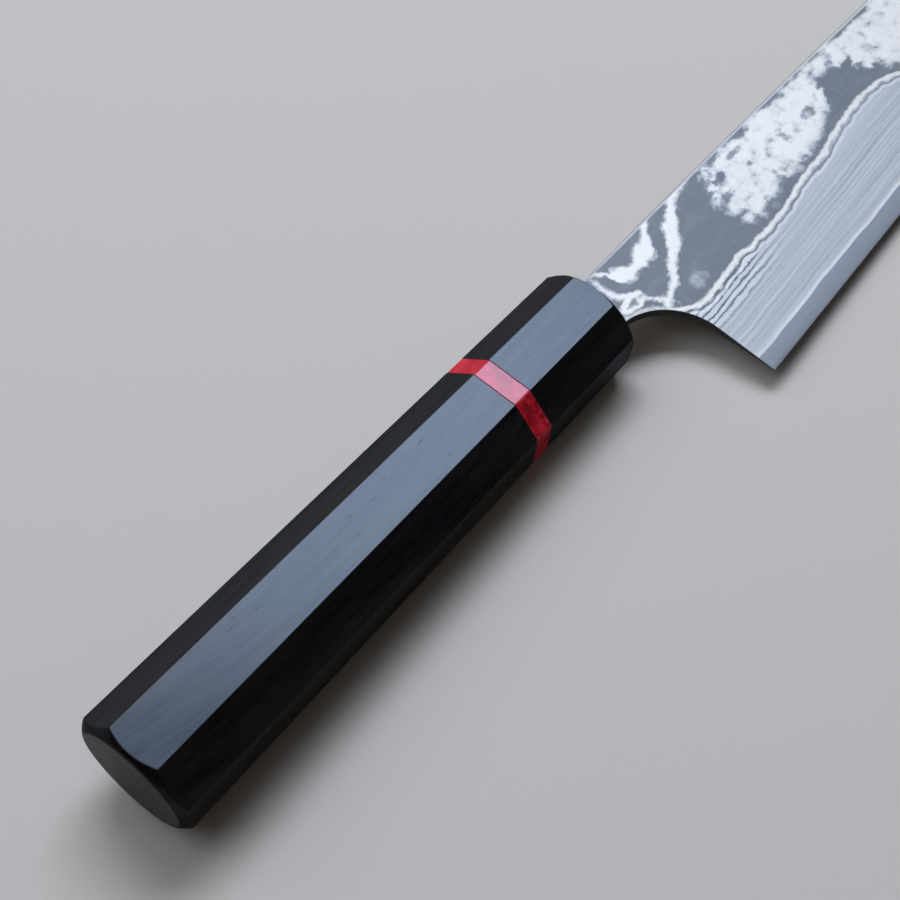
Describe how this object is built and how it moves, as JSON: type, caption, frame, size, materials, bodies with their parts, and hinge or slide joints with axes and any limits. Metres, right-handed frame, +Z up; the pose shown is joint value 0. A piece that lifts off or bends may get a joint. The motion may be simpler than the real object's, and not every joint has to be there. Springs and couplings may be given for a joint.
{
  "type": "sujihiki knife",
  "caption": "Long slicing knife with a laminated, pattern-welded blade, a curved heel notch and an eight-sided ebony handle with a red ring.",
  "frame": {"origin": "under the middle of the knife's box, on the surface that the lower handle flat is laid on", "axes": "+X from the butt to the tip along the handle's axis, +Y from the edge to the spine, +Z up through the blade's right face"},
  "size_m": [0.4148, 0.0478, 0.0236],
  "materials": {
    "core_steel": "fine satin",
    "clad_steel": "etched pattern-welded satin",
    "ebony": "polished, fine-pored",
    "red_resin": "glossy, marbled",
    "dowel_wood": "sawn",
    "clear_resin": "cured"
  },
  "bodies": {
    "root": {"blade_core": "core_steel", "cladding_right": "clad_steel", "cladding_left": "clad_steel", "handle_body": "ebony", "spacer_ring": "red_resin", "ferrule": "ebony", "tang_dowel": "dowel_wood", "tang_bedding": "clear_resin", "neck_seal": "clear_resin"}
  },
  "joints": []
}
